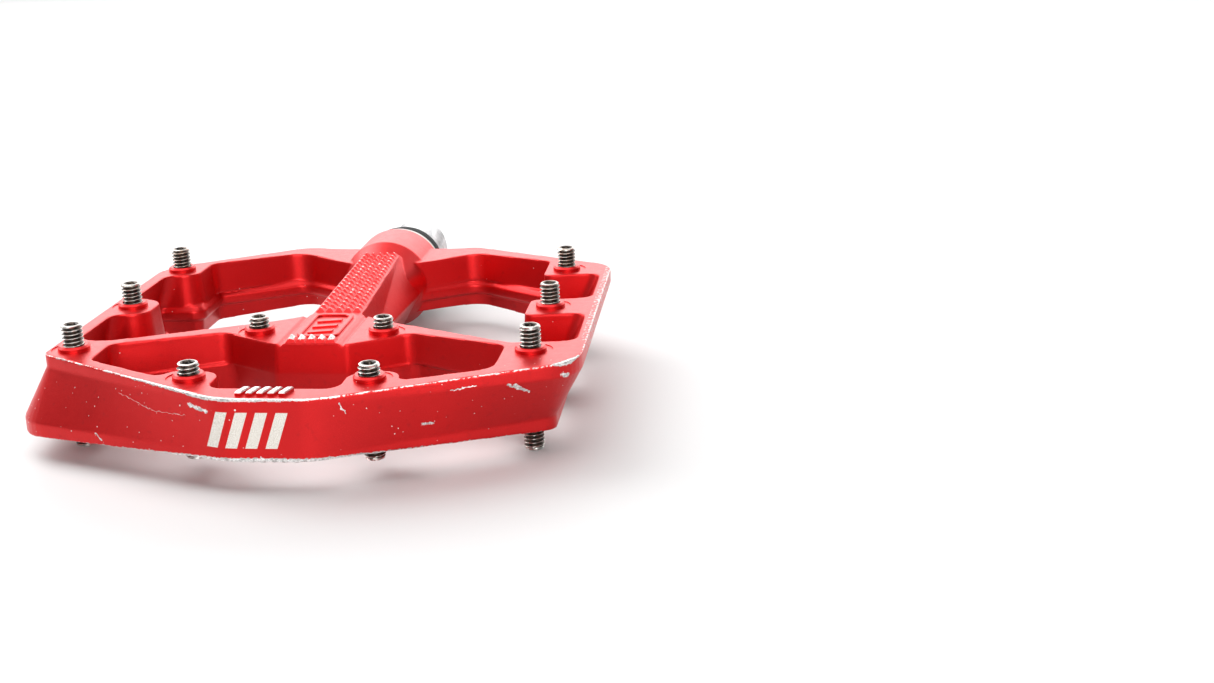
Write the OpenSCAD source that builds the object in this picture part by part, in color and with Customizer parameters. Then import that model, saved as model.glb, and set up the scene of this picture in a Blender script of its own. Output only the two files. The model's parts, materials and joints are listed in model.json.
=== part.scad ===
// Flat bicycle pedal, right-hand side, with a forged aluminium platform on a steel spindle.
// +X is forward, +Y runs along the spindle towards the crank, +Z is up.
// The origin is on the spindle axis, at the shoulder that seats against the crank arm.

/* [Platform outline] */
// Distance from the crank shoulder to the middle row of rail pins
centre_to_shoulder = 66; // [64:0.5:70]
// Half length of the platform along the spindle
half_length = 53.8; // [52:0.1:56]
// Reach of the forward wall's edge nearest the sole
far_reach = 53.3; // [52:0.1:54]
// Reach of the rearward wall's edge nearest the sole
near_reach = 48.2; // [47.5:0.1:49]
// Half thickness of the platform at its centre
centre_half = 5.8; // [5.6:0.1:6.2]
// Half thickness of the platform at the rail pins
rail_half = 7.05; // [6.8:0.05:7.4]
// Half width of the flat strip where the platform is thinnest
flat_half = 12; // [8:1:16]
// Height above the middle plane at which the outer walls start to slope inwards
strip_z = 4.6; // [4:0.1:5.5]
// How far the parting-line rib stands into each window
rib_out = 0.9; // [0.4:0.1:1.2]
// Height of the parting-line rib's upper side
rib_top = -0.2; // [-0.6:0.1:1.6]
// Height of the parting-line rib's lower side
rib_bottom = -2.9; // [-3.4:0.1:-0.8]

/* [Traction pins] */
// Radius of the set screws
pin_r = 2; // [1.8:0.1:2.2]
// Height of the rail pins' tips above the spindle axis
rail_tip = 12; // [11.5:0.1:13]
// Height of the bridge and outboard pins' tips above the spindle axis
inner_tip = 9; // [8.5:0.1:10]
// Distance of the rail pins from the spindle axis
rail_pin_x = 43.5; // [43:0.1:44]
// Spacing of the rail pins along each rail
rail_pin_pitch = 29.5; // [29:0.1:30]
// Distance of the bridge pins from the spindle axis
bridge_pin_x = 12.4; // [12:0.1:12.8]
// Place of the bridge pins along the spindle, from the middle row
bridge_pin_y = -14; // [-14.5:0.1:-13.5]
// Distance of the outboard pins from the spindle axis
outboard_pin_x = 16.5; // [16:0.1:17]
// Place of the outboard pins along the spindle, from the middle row
outboard_pin_y = -43.1; // [-43.5:0.1:-42.5]
// Radius of the raised ring around each pin
ring_r = 2.95; // [2.7:0.05:3.2]

/* [Spindle] */
// Major radius of the crank thread, 9/16 inch
thread_r = 7.144; // [7.1:0.001:7.2]
// Length of the crank thread without its end chamfer
thread_length = 13; // [12:0.5:15]
// Width across the flats of the hex socket in the crank end
socket_flats = 8; // [6:1:8]
// Radius of the shoulder that seats against the crank arm
shoulder_r = 8; // [7.8:0.1:8.4]
// Radius of the spindle inside the lock collar
collar_journal_r = 6.9; // [6.7:0.05:6.9]
// Radius of the seat of the crank-side bearing
bearing_journal_r = 6; // [5.9:0.05:6]
// Radius of the journal that runs in the bushing
bushing_journal_r = 5; // [4.8:0.05:5.1]
// Radius of the seat of the tip bearing
tip_journal_r = 2.5; // [2.4:0.05:2.5]
// Radial running clearance in the bushing
running_gap = 0.05; // [0.02:0.01:0.1]

/* [Hidden] */

$fn = 96;
eps = 0.01;
through = 20;

anodised_red = [0.72, 0.03, 0.06];
pin_steel = [0.24, 0.22, 0.20];
spindle_steel = [0.60, 0.60, 0.62];
race_steel = [0.75, 0.76, 0.78];
collar_grey = [0.78, 0.76, 0.73];
rubber_black = [0.05, 0.05, 0.05];
polymer_yellow = [0.75, 0.62, 0.30];

// Slope of the concave top face outside the flat strip
dish = (rail_half - centre_half) / (rail_pin_x - flat_half);
edge_half = centre_half + dish * (far_reach - flat_half);
wall_lean = atan((far_reach - near_reach) / (strip_z + edge_half));

// Stations along the spindle, measured from the middle row of pins
housing_front = -22;
ramp_start = -1;
ramp_end = 38.5;
boss_start = 43;
boss_end = 56.3;
collar_end = 58;
seal_end = 64;
ramp_half = 8.2;
pad_half = 6;
boss_r = 10.2;

// Bores of the housing, from the crank side inwards
seat_start = 43;
seat_r = 9;
ring_bore_start = 38;
ring_bore_r = 7.2;
bushing_start = 20;
bushing_r = 6;
tip_bore_start = -17;
tip_bore_r = 5;

// Cartridge bearings: 12 x 18 x 4 on the crank side and 5 x 10 x 4 at the tip
crank_bearing_y = 45;
tip_bearing_y = -11;
bearing_half = 2;
ball_gap = 0.1;
crank_ball_r = 0.9;
tip_ball_r = 0.75;
crank_balls = 14;
tip_balls = 8;
crank_pitch_r = (bearing_journal_r + seat_r) / 2;
tip_pitch_r = (tip_journal_r + tip_bore_r) / 2;
race_wall = 0.8;

pin_bottom = 0.6;
hex_r = 1.155;
hex_depth = 2.2;

// ---- Outlines -------------------------------------------------------------------------------

function unit(v) = v / norm(v);

// Points of an arc of radius r that rounds corner b between neighbours a and c
function arc_at(a, b, c, r, n) =
    r == 0 ? [b] :
    let (u = unit(a - b), v = unit(c - b), half = acos(u * v) / 2,
         o = b + unit(u + v) * (r / sin(half)),
         p = b + u * (r / tan(half)) - o, q = b + v * (r / tan(half)) - o,
         start = atan2(p.y, p.x), turn = ((atan2(q.y, q.x) - start + 540) % 360) - 180)
    [for (i = [0:n]) o + r * [cos(start + turn * i / n), sin(start + turn * i / n)]];

function flat(p) = [p[0], p[1]];

// Closed outline through corners [x, y, radius]
function rounded(corners, n = 5) = [
    for (i = [0:len(corners) - 1])
        let (k = len(corners))
        each arc_at(flat(corners[(i + k - 1) % k]), flat(corners[i]), flat(corners[(i + 1) % k]),
                    corners[i][2], n)
];

// The same counter-clockwise corners, moved inwards by d
function inset(corners, d) = [
    for (i = [0:len(corners) - 1])
        let (k = len(corners), b = flat(corners[i]),
             u = unit(b - flat(corners[(i + k - 1) % k])), v = unit(flat(corners[(i + 1) % k]) - b),
             nu = [-u.y, u.x], nv = [-v.y, v.x], m = unit(nu + nv), p = b + m * (d / (m * nu)))
        [p.x, p.y, corners[i][2]]
];

// Outer edge of the platform on its upper side, counter-clockwise from the outboard wall
upper_outline = [
    [7.9, -half_length, 12], [far_reach, -37.1, 9], [far_reach, 31.9, 5], [20, half_length, 4],
    [-21.6, half_length, 6], [-near_reach, 30.7, 12], [-near_reach, -33, 3], [-8.1, -half_length, 12]
];

// Window behind the bridge, on the forward side and on the rearward side
forward_window = [
    [3, 0, 1], [8.6, -4.6, 2], [38.9, -23.8, 2], [38.8, 37.3, 2], [20.3, 48, 5], [8.2, 40.4, 3],
    [3, 38, 1]
];
rearward_window = [
    [-3, 0, 1], [-3, 38, 1], [-8.2, 40.4, 3], [-20.8, 48.6, 6], [-38.8, 35.7, 3], [-38.9, -23, 3],
    [-8.6, -4.4, 2]
];

// Window between the bridge and the outboard wall, with a tab around each outboard pin
outboard_window = [
    [-11.9, -48, 3], [11.9, -48, 3], [11.9, -38.7, 3.6], [21.1, -38.7, 3.6], [21.9, -44.4, 2],
    [37.9, -39.2, 3.5], [38.1, -25.6, 3], [18, -15.4, 3], [7, -22, 2], [-7, -22, 2],
    [-18.8, -15.2, 3], [-38.2, -25.7, 3], [-38, -35.2, 2], [-22.2, -42.9, 2], [-21.1, -38.7, 3.6],
    [-11.9, -38.7, 3.6]
];

// Rail pockets: near end, far end, in the middle plane they reach out to pocket_x
pocket_x = 48.2;
pocket_mouth = 37.8;
pockets = [[-24.2, -6], [5.6, 24.6]];

// ---- Platform -------------------------------------------------------------------------------

module at_centre() {
    translate([0, -centre_to_shoulder, 0])
        children();
}

// A shape of revolution about the spindle axis, drawn as [radius, y]
module turned() {
    rotate([-90, 0, 0])
        rotate_extrude()
            children();
}

module turned_tube(inner, outer, from, to) {
    at_centre()
        turned()
            translate([inner, from])
                square([outer - inner, to - from]);
}

// Draws the children, and the same turned half a turn about the spindle
module both_faces() {
    children();
    rotate([0, 180, 0])
        children();
}

// Draws the children, and the same mirrored to the other side of the spindle
module both_sides() {
    children();
    mirror([1, 0, 0])
        children();
}

module shell_half() {
    translate([0, 0, strip_z])
        linear_extrude(edge_half + 0.1 - strip_z)
            polygon(rounded(upper_outline, 4));
}

// Thin in the middle and thicker towards both rails
module dished_slab() {
    reach = 60;
    rise = centre_half + dish * (reach - flat_half);
    rotate([90, 0, 0])
        linear_extrude(4 * reach, center = true)
            polygon([
                [-reach, -rise], [-flat_half, -centre_half], [flat_half, -centre_half], [reach, -rise],
                [reach, rise], [flat_half, centre_half], [-flat_half, centre_half], [-reach, rise]
            ]);
}

// One window: the upper outline above top, the lower one below bottom, and a narrower one between them
module window_cut(upper, lower, top = rib_top, bottom = rib_bottom, rib = rib_out) {
    translate([0, 0, top])
        linear_extrude(through)
            polygon(rounded(upper));
    translate([0, 0, bottom - through])
        linear_extrude(through)
            polygon(rounded(lower));
    translate([0, 0, bottom - eps])
        linear_extrude(top - bottom + 2 * eps)
            intersection() {
                polygon(rounded(inset(upper, rib)));
                polygon(rounded(inset(lower, rib)));
            }
}

function mirrored(corners) = [
    for (i = [len(corners) - 1:-1:0]) [-corners[i][0], corners[i][1], corners[i][2]]
];

// A pocket between two rail tabs, leaning with the outer wall
module pocket_cut(from, to) {
    outer = pocket_x * cos(wall_lean);
    inner = pocket_mouth * cos(wall_lean) - 4;
    rotate([0, wall_lean, 0])
        linear_extrude(through * 4, center = true)
            polygon(rounded([[inner, from, 0], [outer, from, 2.5], [outer, to, 2.5], [inner, to, 0]]));
}

// The rail's side of the window, which the leaning pockets are kept to
module pocket_block(side) {
    reach = 16;
    translate([side * (pocket_mouth + reach / 2), 0, 0])
        cube([reach, 60, 2 * through], center = true);
}

module rail_pockets() {
    for (p = pockets)
        for (side = [1, -1])
            intersection() {
                if (side > 0)
                    pocket_cut(p[0], p[1]);
                else
                    rotate([0, 180, 0])
                        pocket_cut(p[0], p[1]);
                pocket_block(side);
            }
}

// Section of the housing: flat pads above and below, widest in the middle plane
module housing_section(pad_width, half, mid_width) {
    rotate([90, 0, 0])
        linear_extrude(eps, center = true)
            polygon([
                [pad_width, half], [-pad_width, half], [-mid_width, 0.8], [-mid_width, -0.8],
                [-pad_width, -half], [pad_width, -half], [mid_width, -0.8], [mid_width, 0.8]
            ]);
}

module housing() {
    pad_width = 5;
    mid_width = 6.8;
    hull() {
        translate([0, housing_front, 0])
            housing_section(pad_width, pad_half, mid_width);
        translate([0, ramp_start, 0])
            housing_section(pad_width, pad_half, mid_width);
    }
    hull() {
        translate([0, ramp_start, 0])
            housing_section(pad_width, pad_half, mid_width);
        translate([0, ramp_end, 0])
            housing_section(4.2, ramp_half, 8.6);
    }
    turned()
        polygon([
            [0, ramp_end - 3], [ramp_half - 0.8, ramp_end - 3], [boss_r, boss_start - 0.5],
            [boss_r, boss_end - 0.6], [boss_r - 0.6, boss_end], [0, boss_end]
        ]);
}

module housing_bores() {
    turned()
        polygon([
            [0, tip_bore_start], [tip_bore_r, tip_bore_start], [tip_bore_r, bushing_start],
            [bushing_r, bushing_start], [bushing_r, ring_bore_start], [ring_bore_r, ring_bore_start],
            [ring_bore_r, seat_start], [seat_r, seat_start], [seat_r, through * 3], [0, through * 3]
        ]);
}

// Centres of the pins on one face
rail_rows = [-rail_pin_pitch, 0, rail_pin_pitch];
rail_places = [for (y = rail_rows) [rail_pin_x, y]];
bridge_places = [[bridge_pin_x, bridge_pin_y]];
outboard_places = [[outboard_pin_x, outboard_pin_y]];

// Raised ring around each pin, on both faces
module pin_rings(places, tip, stand) {
    for (p = places)
        translate([p[0], p[1], 0])
            cylinder(r = ring_r, h = 2 * (tip - stand), center = true);
}

module pin_holes(places) {
    for (p = places)
        translate([p[0], p[1], 0])
            cylinder(r = pin_r + 0.02, h = 3 * through, center = true);
}

module platform_body() {
    rail_stand = 4;
    inner_stand = 2;
    color(anodised_red)
        at_centre()
            difference() {
                union() {
                    difference() {
                        intersection() {
                            hull()
                                both_faces()
                                    shell_half();
                            dished_slab();
                        }
                        window_cut(forward_window, mirrored(rearward_window));
                        window_cut(rearward_window, mirrored(forward_window));
                        window_cut(outboard_window, mirrored(outboard_window), 0, 0, 0);
                        rail_pockets();
                    }
                    housing();
                    both_sides() {
                        pin_rings(rail_places, rail_tip, rail_stand);
                        pin_rings(concat(bridge_places, outboard_places), inner_tip, inner_stand);
                    }
                }
                housing_bores();
                both_sides()
                    pin_holes(concat(rail_places, bridge_places, outboard_places));
            }
}

// ---- Traction pins --------------------------------------------------------------------------

// A set screw with a hex socket and chamfered ends
module set_screw(tip) {
    chamfer = 0.4;
    difference() {
        rotate_extrude($fn = 48)
            polygon([
                [0, pin_bottom], [pin_r - chamfer, pin_bottom], [pin_r, pin_bottom + chamfer],
                [pin_r, tip - chamfer], [pin_r - chamfer, tip], [0, tip]
            ]);
        translate([0, 0, tip - hex_depth])
            cylinder(r = hex_r, h = through, $fn = 6);
    }
}

module pins(places, tip, forward, upper) {
    color(pin_steel)
        at_centre()
            for (p = places)
                translate([forward * p[0], p[1], 0])
                    mirror([0, 0, upper ? 0 : 1])
                        set_screw(tip);
}

module leading_pins_upper() { pins(rail_places, rail_tip, 1, true); }
module leading_pins_lower() { pins(rail_places, rail_tip, 1, false); }
module trailing_pins_upper() { pins(rail_places, rail_tip, -1, true); }
module trailing_pins_lower() { pins(rail_places, rail_tip, -1, false); }

module bridge_pins_upper() {
    for (side = [1, -1])
        pins(bridge_places, inner_tip, side, true);
}

module bridge_pins_lower() {
    for (side = [1, -1])
        pins(bridge_places, inner_tip, side, false);
}

module outboard_pins_upper() {
    for (side = [1, -1])
        pins(outboard_places, inner_tip, side, true);
}

module outboard_pins_lower() {
    for (side = [1, -1])
        pins(outboard_places, inner_tip, side, false);
}

// ---- Spindle and what is fixed to it --------------------------------------------------------

ring_groove_r = 5.6;
ring_groove = [41.9, 42.9];
flange_start = seal_end + 0.4;
crank_race_start = crank_bearing_y - bearing_half;
crank_race_end = crank_bearing_y + bearing_half;
tip_race_start = tip_bearing_y - bearing_half;
tip_race_end = tip_bearing_y + bearing_half;

module spindle() {
    taper_end = -5;
    taper_r = 3.9;
    screw_hole_r = 1.5;
    screw_depth = 9;
    chamfer = 1;
    socket_r = socket_flats / 2 / cos(30);
    socket_depth = 9;
    color(spindle_steel)
        difference() {
            at_centre()
                turned()
                    polygon([
                        [0, tip_race_start], [tip_journal_r, tip_race_start], [tip_journal_r, tip_race_end],
                        [3.2, tip_race_end], [taper_r, taper_end], [bushing_journal_r, bushing_start + 2],
                        [bushing_journal_r, 40.8], [bearing_journal_r, 40.8],
                        [bearing_journal_r, ring_groove[0]], [ring_groove_r, ring_groove[0]],
                        [ring_groove_r, ring_groove[1]], [bearing_journal_r, ring_groove[1]],
                        [bearing_journal_r, crank_race_end], [collar_journal_r, crank_race_end],
                        [collar_journal_r, flange_start], [shoulder_r, flange_start],
                        [shoulder_r, centre_to_shoulder], [thread_r, centre_to_shoulder],
                        [thread_r, centre_to_shoulder + thread_length],
                        [thread_r - chamfer, centre_to_shoulder + thread_length + chamfer],
                        [0, centre_to_shoulder + thread_length + chamfer]
                    ]);
            translate([0, thread_length + chamfer - socket_depth, 0])
                rotate([-90, 0, 0])
                    cylinder(r = socket_r, h = through, $fn = 6);
            at_centre()
                translate([0, tip_race_start + screw_depth, 0])
                    rotate([90, 0, 0])
                        cylinder(r = screw_hole_r, h = through, $fn = 48);
        }
}

// A split ring that snaps into the spindle's groove behind the crank-side bearing
module spindle_retaining_ring() {
    slot = 1.6;
    color(spindle_steel)
        at_centre()
            difference() {
                turned()
                    translate([ring_groove_r, ring_groove[0] + 0.05])
                        square([ring_bore_r - 0.35 - ring_groove_r, 0.85]);
                translate([-slot / 2, ring_groove[0] - 1, 0])
                    cube([slot, 3, through]);
            }
}

module tip_washer() {
    color(race_steel)
        turned_tube(1.6, 3.1, tip_race_start - 0.7, tip_race_start);
}

// A button-head screw that holds the tip bearing on the spindle
module tip_bolt() {
    head_r = 2.7;
    head = 1.6;
    shank = 7;
    from = tip_race_start - 0.7;
    color(race_steel)
        at_centre()
            difference() {
                turned()
                    polygon([
                        [0, from - head], [head_r - 0.6, from - head], [head_r, from - head + 0.6],
                        [head_r, from], [1.48, from], [1.48, from + shank], [0, from + shank]
                    ]);
                translate([0, from - head + 1, 0])
                    rotate([90, 0, 0])
                        cylinder(r = hex_r, h = through, $fn = 6);
            }
}

// ---- Cartridge bearings ---------------------------------------------------------------------

// One race of a deep-groove bearing centred at y, with its ball groove
module race(inner, outer, y, pitch_r, ball_r) {
    color(race_steel)
        at_centre()
            turned()
                difference() {
                    translate([inner, y - bearing_half])
                        square([outer - inner, 2 * bearing_half]);
                    translate([pitch_r, y])
                        circle(r = ball_r + ball_gap, $fn = 48);
                }
}

module balls(count, y, pitch_r, ball_r) {
    color(race_steel)
        at_centre()
            for (i = [0:count - 1])
                rotate([0, i * 360 / count, 0])
                    translate([pitch_r, y, 0])
                        sphere(r = ball_r, $fn = 32);
}

// A flat band that keeps the balls apart, with a round pocket for each
module cage(count, y, pitch_r, ball_r) {
    band = 0.22;
    half_width = ball_r + 0.35;
    color(polymer_yellow)
        at_centre()
            difference() {
                turned()
                    translate([pitch_r - band, y - half_width])
                        square([2 * band, 2 * half_width]);
                for (i = [0:count - 1])
                    rotate([0, i * 360 / count, 0])
                        translate([pitch_r - 1, y, 0])
                            rotate([0, 90, 0])
                                cylinder(r = ball_r + 0.08, h = 2, $fn = 32);
            }
}

// Thin shields fixed in the outer race, clear of the inner race
module shields(inner, outer, y) {
    thickness = 0.3;
    color(rubber_black)
        for (side = [-1, 1])
            turned_tube(inner, outer, y + side * (bearing_half - 0.25) - thickness / 2,
                        y + side * (bearing_half - 0.25) + thickness / 2);
}

module crank_bearing_inner_race() {
    race(bearing_journal_r, bearing_journal_r + race_wall, crank_bearing_y, crank_pitch_r, crank_ball_r);
}

module crank_bearing_outer_race() {
    race(seat_r - race_wall, seat_r, crank_bearing_y, crank_pitch_r, crank_ball_r);
}

module crank_bearing_balls() { balls(crank_balls, crank_bearing_y, crank_pitch_r, crank_ball_r); }
module crank_bearing_cage() { cage(crank_balls, crank_bearing_y, crank_pitch_r, crank_ball_r); }

module crank_bearing_shields() {
    shields(bearing_journal_r + race_wall + 0.3, seat_r - race_wall, crank_bearing_y);
}

module tip_bearing_inner_race() {
    race(tip_journal_r, tip_journal_r + race_wall, tip_bearing_y, tip_pitch_r, tip_ball_r);
}

module tip_bearing_outer_race() {
    race(tip_bore_r - race_wall, tip_bore_r, tip_bearing_y, tip_pitch_r, tip_ball_r);
}

module tip_bearing_balls() { balls(tip_balls, tip_bearing_y, tip_pitch_r, tip_ball_r); }
module tip_bearing_cage() { cage(tip_balls, tip_bearing_y, tip_pitch_r, tip_ball_r); }

module tip_bearing_shields() {
    shields(tip_journal_r + race_wall + 0.3, tip_bore_r - race_wall, tip_bearing_y);
}

// ---- What turns with the platform around the spindle -----------------------------------------

// Polymer sleeve pressed into the housing
module glide_bushing() {
    color(polymer_yellow)
        turned_tube(bushing_journal_r + running_gap, bushing_r, bushing_start, ring_bore_start - 0.5);
}

collar_bore_r = collar_journal_r + 0.4;
seal_spigot_r = 8.2;
seal_spigot_start = 55;
o_ring_y = 50.9;
o_ring_r = 0.5;

// Screws into the boss and holds the crank-side bearing's outer race
module lock_collar() {
    flange_r = 9.8;
    color(collar_grey)
        at_centre()
            turned()
                polygon([
                    [collar_bore_r, crank_race_end], [seat_r, crank_race_end],
                    [seat_r, o_ring_y - o_ring_r], [seat_r - 2 * o_ring_r, o_ring_y - o_ring_r],
                    [seat_r - 2 * o_ring_r, o_ring_y + o_ring_r], [seat_r, o_ring_y + o_ring_r],
                    [seat_r, boss_end], [flange_r - 0.3, boss_end], [flange_r, boss_end + 0.3],
                    [flange_r - 0.1, collar_end], [seal_spigot_r, collar_end],
                    [seal_spigot_r, seal_spigot_start], [collar_bore_r, seal_spigot_start]
                ]);
}

module collar_o_ring() {
    color(rubber_black)
        at_centre()
            turned()
                translate([seat_r - o_ring_r, o_ring_y])
                    circle(r = o_ring_r, $fn = 48);
}

// Rubber dust seal on the crank side, with a lip that brushes the spindle
module crank_seal() {
    lip_gap = 0.1;
    color(rubber_black)
        at_centre()
            turned()
                polygon([
                    [collar_bore_r, seal_spigot_start], [seal_spigot_r, seal_spigot_start],
                    [seal_spigot_r, collar_end], [9.6, collar_end], [9.45, collar_end + 2.4],
                    [8.8, seal_end], [collar_bore_r, seal_end], [collar_bore_r, seal_end - 1],
                    [collar_journal_r + lip_gap, seal_end - 1.5], [collar_journal_r + lip_gap, seal_end - 2],
                    [collar_bore_r, seal_end - 2.5]
                ]);
}

spindle();
crank_bearing_inner_race();
spindle_retaining_ring();
tip_bearing_inner_race();
tip_washer();
tip_bolt();
crank_bearing_balls();
crank_bearing_cage();
tip_bearing_balls();
tip_bearing_cage();
platform_body();
glide_bushing();
crank_bearing_outer_race();
crank_bearing_shields();
tip_bearing_outer_race();
tip_bearing_shields();
lock_collar();
collar_o_ring();
crank_seal();
leading_pins_upper();
leading_pins_lower();
trailing_pins_upper();
trailing_pins_lower();
bridge_pins_upper();
bridge_pins_lower();
outboard_pins_upper();
outboard_pins_lower();
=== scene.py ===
import json
import math

import bmesh
import bpy
import numpy as np
from mathutils import Matrix, Vector


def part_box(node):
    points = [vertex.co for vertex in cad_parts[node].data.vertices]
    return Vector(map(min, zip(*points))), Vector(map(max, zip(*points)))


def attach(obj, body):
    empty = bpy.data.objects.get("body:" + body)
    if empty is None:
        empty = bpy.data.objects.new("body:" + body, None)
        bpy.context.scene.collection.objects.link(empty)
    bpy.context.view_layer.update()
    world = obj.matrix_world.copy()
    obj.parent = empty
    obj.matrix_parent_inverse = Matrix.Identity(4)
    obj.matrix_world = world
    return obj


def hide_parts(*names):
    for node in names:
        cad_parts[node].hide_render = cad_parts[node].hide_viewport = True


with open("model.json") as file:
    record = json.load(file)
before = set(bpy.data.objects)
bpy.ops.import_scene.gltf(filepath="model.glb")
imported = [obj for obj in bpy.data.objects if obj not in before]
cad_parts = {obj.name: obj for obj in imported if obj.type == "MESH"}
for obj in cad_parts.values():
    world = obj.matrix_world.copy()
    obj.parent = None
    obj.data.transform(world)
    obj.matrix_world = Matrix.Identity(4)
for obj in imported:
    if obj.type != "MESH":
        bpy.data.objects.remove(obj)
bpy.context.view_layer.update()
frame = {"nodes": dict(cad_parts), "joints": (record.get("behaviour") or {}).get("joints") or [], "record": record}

# A worn red flat pedal on a pale sweep. Shapes are worked out in millimetres, with the middle row of
# rail pins at y = 0, and moved into the frame by placed().

MM = 0.001
NODES = frame["nodes"]
MOUNT = frame["record"]["mounts"][0]
CENTRE_Y = next(j for j in frame["joints"] if j["name"] == "platform_spin")["pos_m"][1]


def node_box_mm(node):
    low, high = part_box(node)
    shift = Vector((0, CENTRE_Y, 0))
    return (low - shift) / MM, (high - shift) / MM


BODY_LOW, BODY_HIGH = node_box_mm("platform_body")
RAIL_TIP = node_box_mm("leading_pins_upper")[1].z
INNER_TIP = node_box_mm("bridge_pins_upper")[1].z
# Just under the rail pins, so that no faces coincide
FLOOR_Z = node_box_mm("leading_pins_lower")[0].z - 0.02

# ---- Camera and light ------------------------------------------------------------------------------


def camera():
    """The photograph's viewpoint: low, in front of the outboard wall and a little to the right."""
    yaw, pitch, roll = (math.radians(a) for a in (-5.49743, 17.22011, -1.51752))
    level = math.cos(pitch)
    forward = Vector((math.sin(yaw) * level, math.cos(yaw) * level, -math.sin(pitch)))
    right = Vector((math.cos(yaw), -math.sin(yaw), 0))
    up = right.cross(forward)
    rolled_right = math.cos(roll) * right + math.sin(roll) * up
    rolled_up = -math.sin(roll) * right + math.cos(roll) * up
    data = bpy.data.cameras.new("camera")
    data.sensor_width = 36
    data.lens = 46.14
    data.clip_start = 0.01
    obj = bpy.data.objects.new("camera", data)
    bpy.context.scene.collection.objects.link(obj)
    turn = Matrix((rolled_right, rolled_up, -forward)).transposed().to_4x4()
    obj.matrix_world = Matrix.Translation((0.08363, CENTRE_Y - 0.29976, 0.09291)) @ turn
    bpy.context.scene.camera = obj


def area_light(name, place, target, size, watts):
    data = bpy.data.lights.new(name, "AREA")
    data.shape = "RECTANGLE"
    data.size, data.size_y = size
    data.energy = watts
    obj = bpy.data.objects.new(name, data)
    bpy.context.scene.collection.objects.link(obj)
    obj.location = place
    obj.rotation_euler = (Vector(place) - Vector(target)).to_track_quat("Z", "Y").to_euler()


def light():
    """White sweep lit from above and behind, with a dimmer fill from the camera's side."""
    centre = (0, CENTRE_Y, 0)
    area_light("key", (-0.75, CENTRE_Y + 0.35, 0.75), centre, (0.8, 0.8), 13)
    area_light("overhead", (0.0, CENTRE_Y - 0.05, 0.9), centre, (0.9, 0.8), 6.5)
    area_light("back", (0.1, CENTRE_Y + 1.0, 0.5), centre, (1.8, 0.7), 11)
    area_light("fill", (0.25, CENTRE_Y - 0.95, 0.36), centre, (0.7, 0.5), 7.5)
    bpy.context.scene.view_settings.view_transform = "Standard"


def surroundings():
    """A dim room with a pale band along the horizon."""
    world = bpy.data.worlds.new("studio")
    bpy.context.scene.world = world
    world.use_nodes = True
    nodes, links = world.node_tree.nodes, world.node_tree.links
    place = nodes.new("ShaderNodeTexCoord")
    parts = nodes.new("ShaderNodeSeparateXYZ")
    band = nodes.new("ShaderNodeMapRange")
    band.interpolation_type = "SMOOTHSTEP"
    for key, value in (("From Min", 0.02), ("From Max", 0.25), ("To Min", 1.0), ("To Max", 0.2)):
        band.inputs[key].default_value = value
    links.new(place.outputs["Generated"], parts.inputs[0])
    links.new(parts.outputs["Z"], band.inputs["Value"])
    links.new(band.outputs[0], nodes["Background"].inputs["Strength"])
    nodes["Background"].inputs["Color"].default_value = (1, 1, 1, 1)


# ---- Outlines --------------------------------------------------------------------------------------


def arc(before, corner, after, radius, count):
    """Points that round a corner."""
    corner = np.array(corner, float)
    if radius == 0:
        return [corner] * (count + 1)
    u = np.array(before) - corner
    v = np.array(after) - corner
    u, v = u / np.linalg.norm(u), v / np.linalg.norm(v)
    half = math.acos(np.clip(u @ v, -1, 1)) / 2
    middle = (u + v) / np.linalg.norm(u + v)
    centre = corner + middle * radius / math.sin(half)
    first = corner + u * radius / math.tan(half) - centre
    last = corner + v * radius / math.tan(half) - centre
    start = math.atan2(first[1], first[0])
    turn = (math.atan2(last[1], last[0]) - start + 3 * math.pi) % (2 * math.pi) - math.pi
    angles = [start + turn * i / count for i in range(count + 1)]
    return [centre + radius * np.array((math.cos(a), math.sin(a))) for a in angles]


def rounded(corners, count=8, fill=8):
    """Closed outline through corners (x, y, radius), with extra points along its straight stretches."""
    n = len(corners)
    arcs = [arc(corners[i - 1][:2], corners[i][:2], corners[(i + 1) % n][:2], corners[i][2], count)
            for i in range(n)]
    points = []
    for i in range(n):
        points += arcs[i]
        start, end = arcs[i][-1], arcs[(i + 1) % n][0]
        points += [start + (end - start) * k / (fill + 1) for k in range(1, fill + 1)]
    return np.array(points)


def inset(corners, distance):
    """The same counter-clockwise corners, moved inwards, with arcs that stay concentric."""
    moved = []
    n = len(corners)
    for i in range(n):
        a, b, c = (np.array(corners[k % n][:2], float) for k in (i - 1, i, i + 1))
        u, v = (b - a) / np.linalg.norm(b - a), (c - b) / np.linalg.norm(c - b)
        nu, nv = np.array((-u[1], u[0])), np.array((-v[1], v[0]))
        m = (nu + nv) / np.linalg.norm(nu + nv)
        bulges = u[0] * v[1] - u[1] * v[0] > 0
        radius = max(corners[i][2] + (-distance if bulges else distance), 0.3)
        moved.append((*(b + m * distance / (m @ nu)), radius))
    return moved


def mirrored(corners):
    return [(-x, y, r) for x, y, r in reversed(corners)]


HALF_LENGTH = -BODY_LOW.y
FAR_REACH = BODY_HIGH.x
NEAR_REACH = 48.2
UPPER_OUTLINE = [
    (7.9, -HALF_LENGTH, 12), (FAR_REACH, -37.1, 9), (FAR_REACH, 31.9, 8), (20, HALF_LENGTH, 4),
    (-21.6, HALF_LENGTH, 6), (-NEAR_REACH, 30.7, 12), (-NEAR_REACH, -33, 3), (-8.1, -HALF_LENGTH, 12),
]
# Along the spindle, where the pockets between the rail tabs start and end
POCKETS = [(-24.2, -6), (5.6, 24.6)]
POCKET_X = 48.2
TAB_X = 38.8


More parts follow.
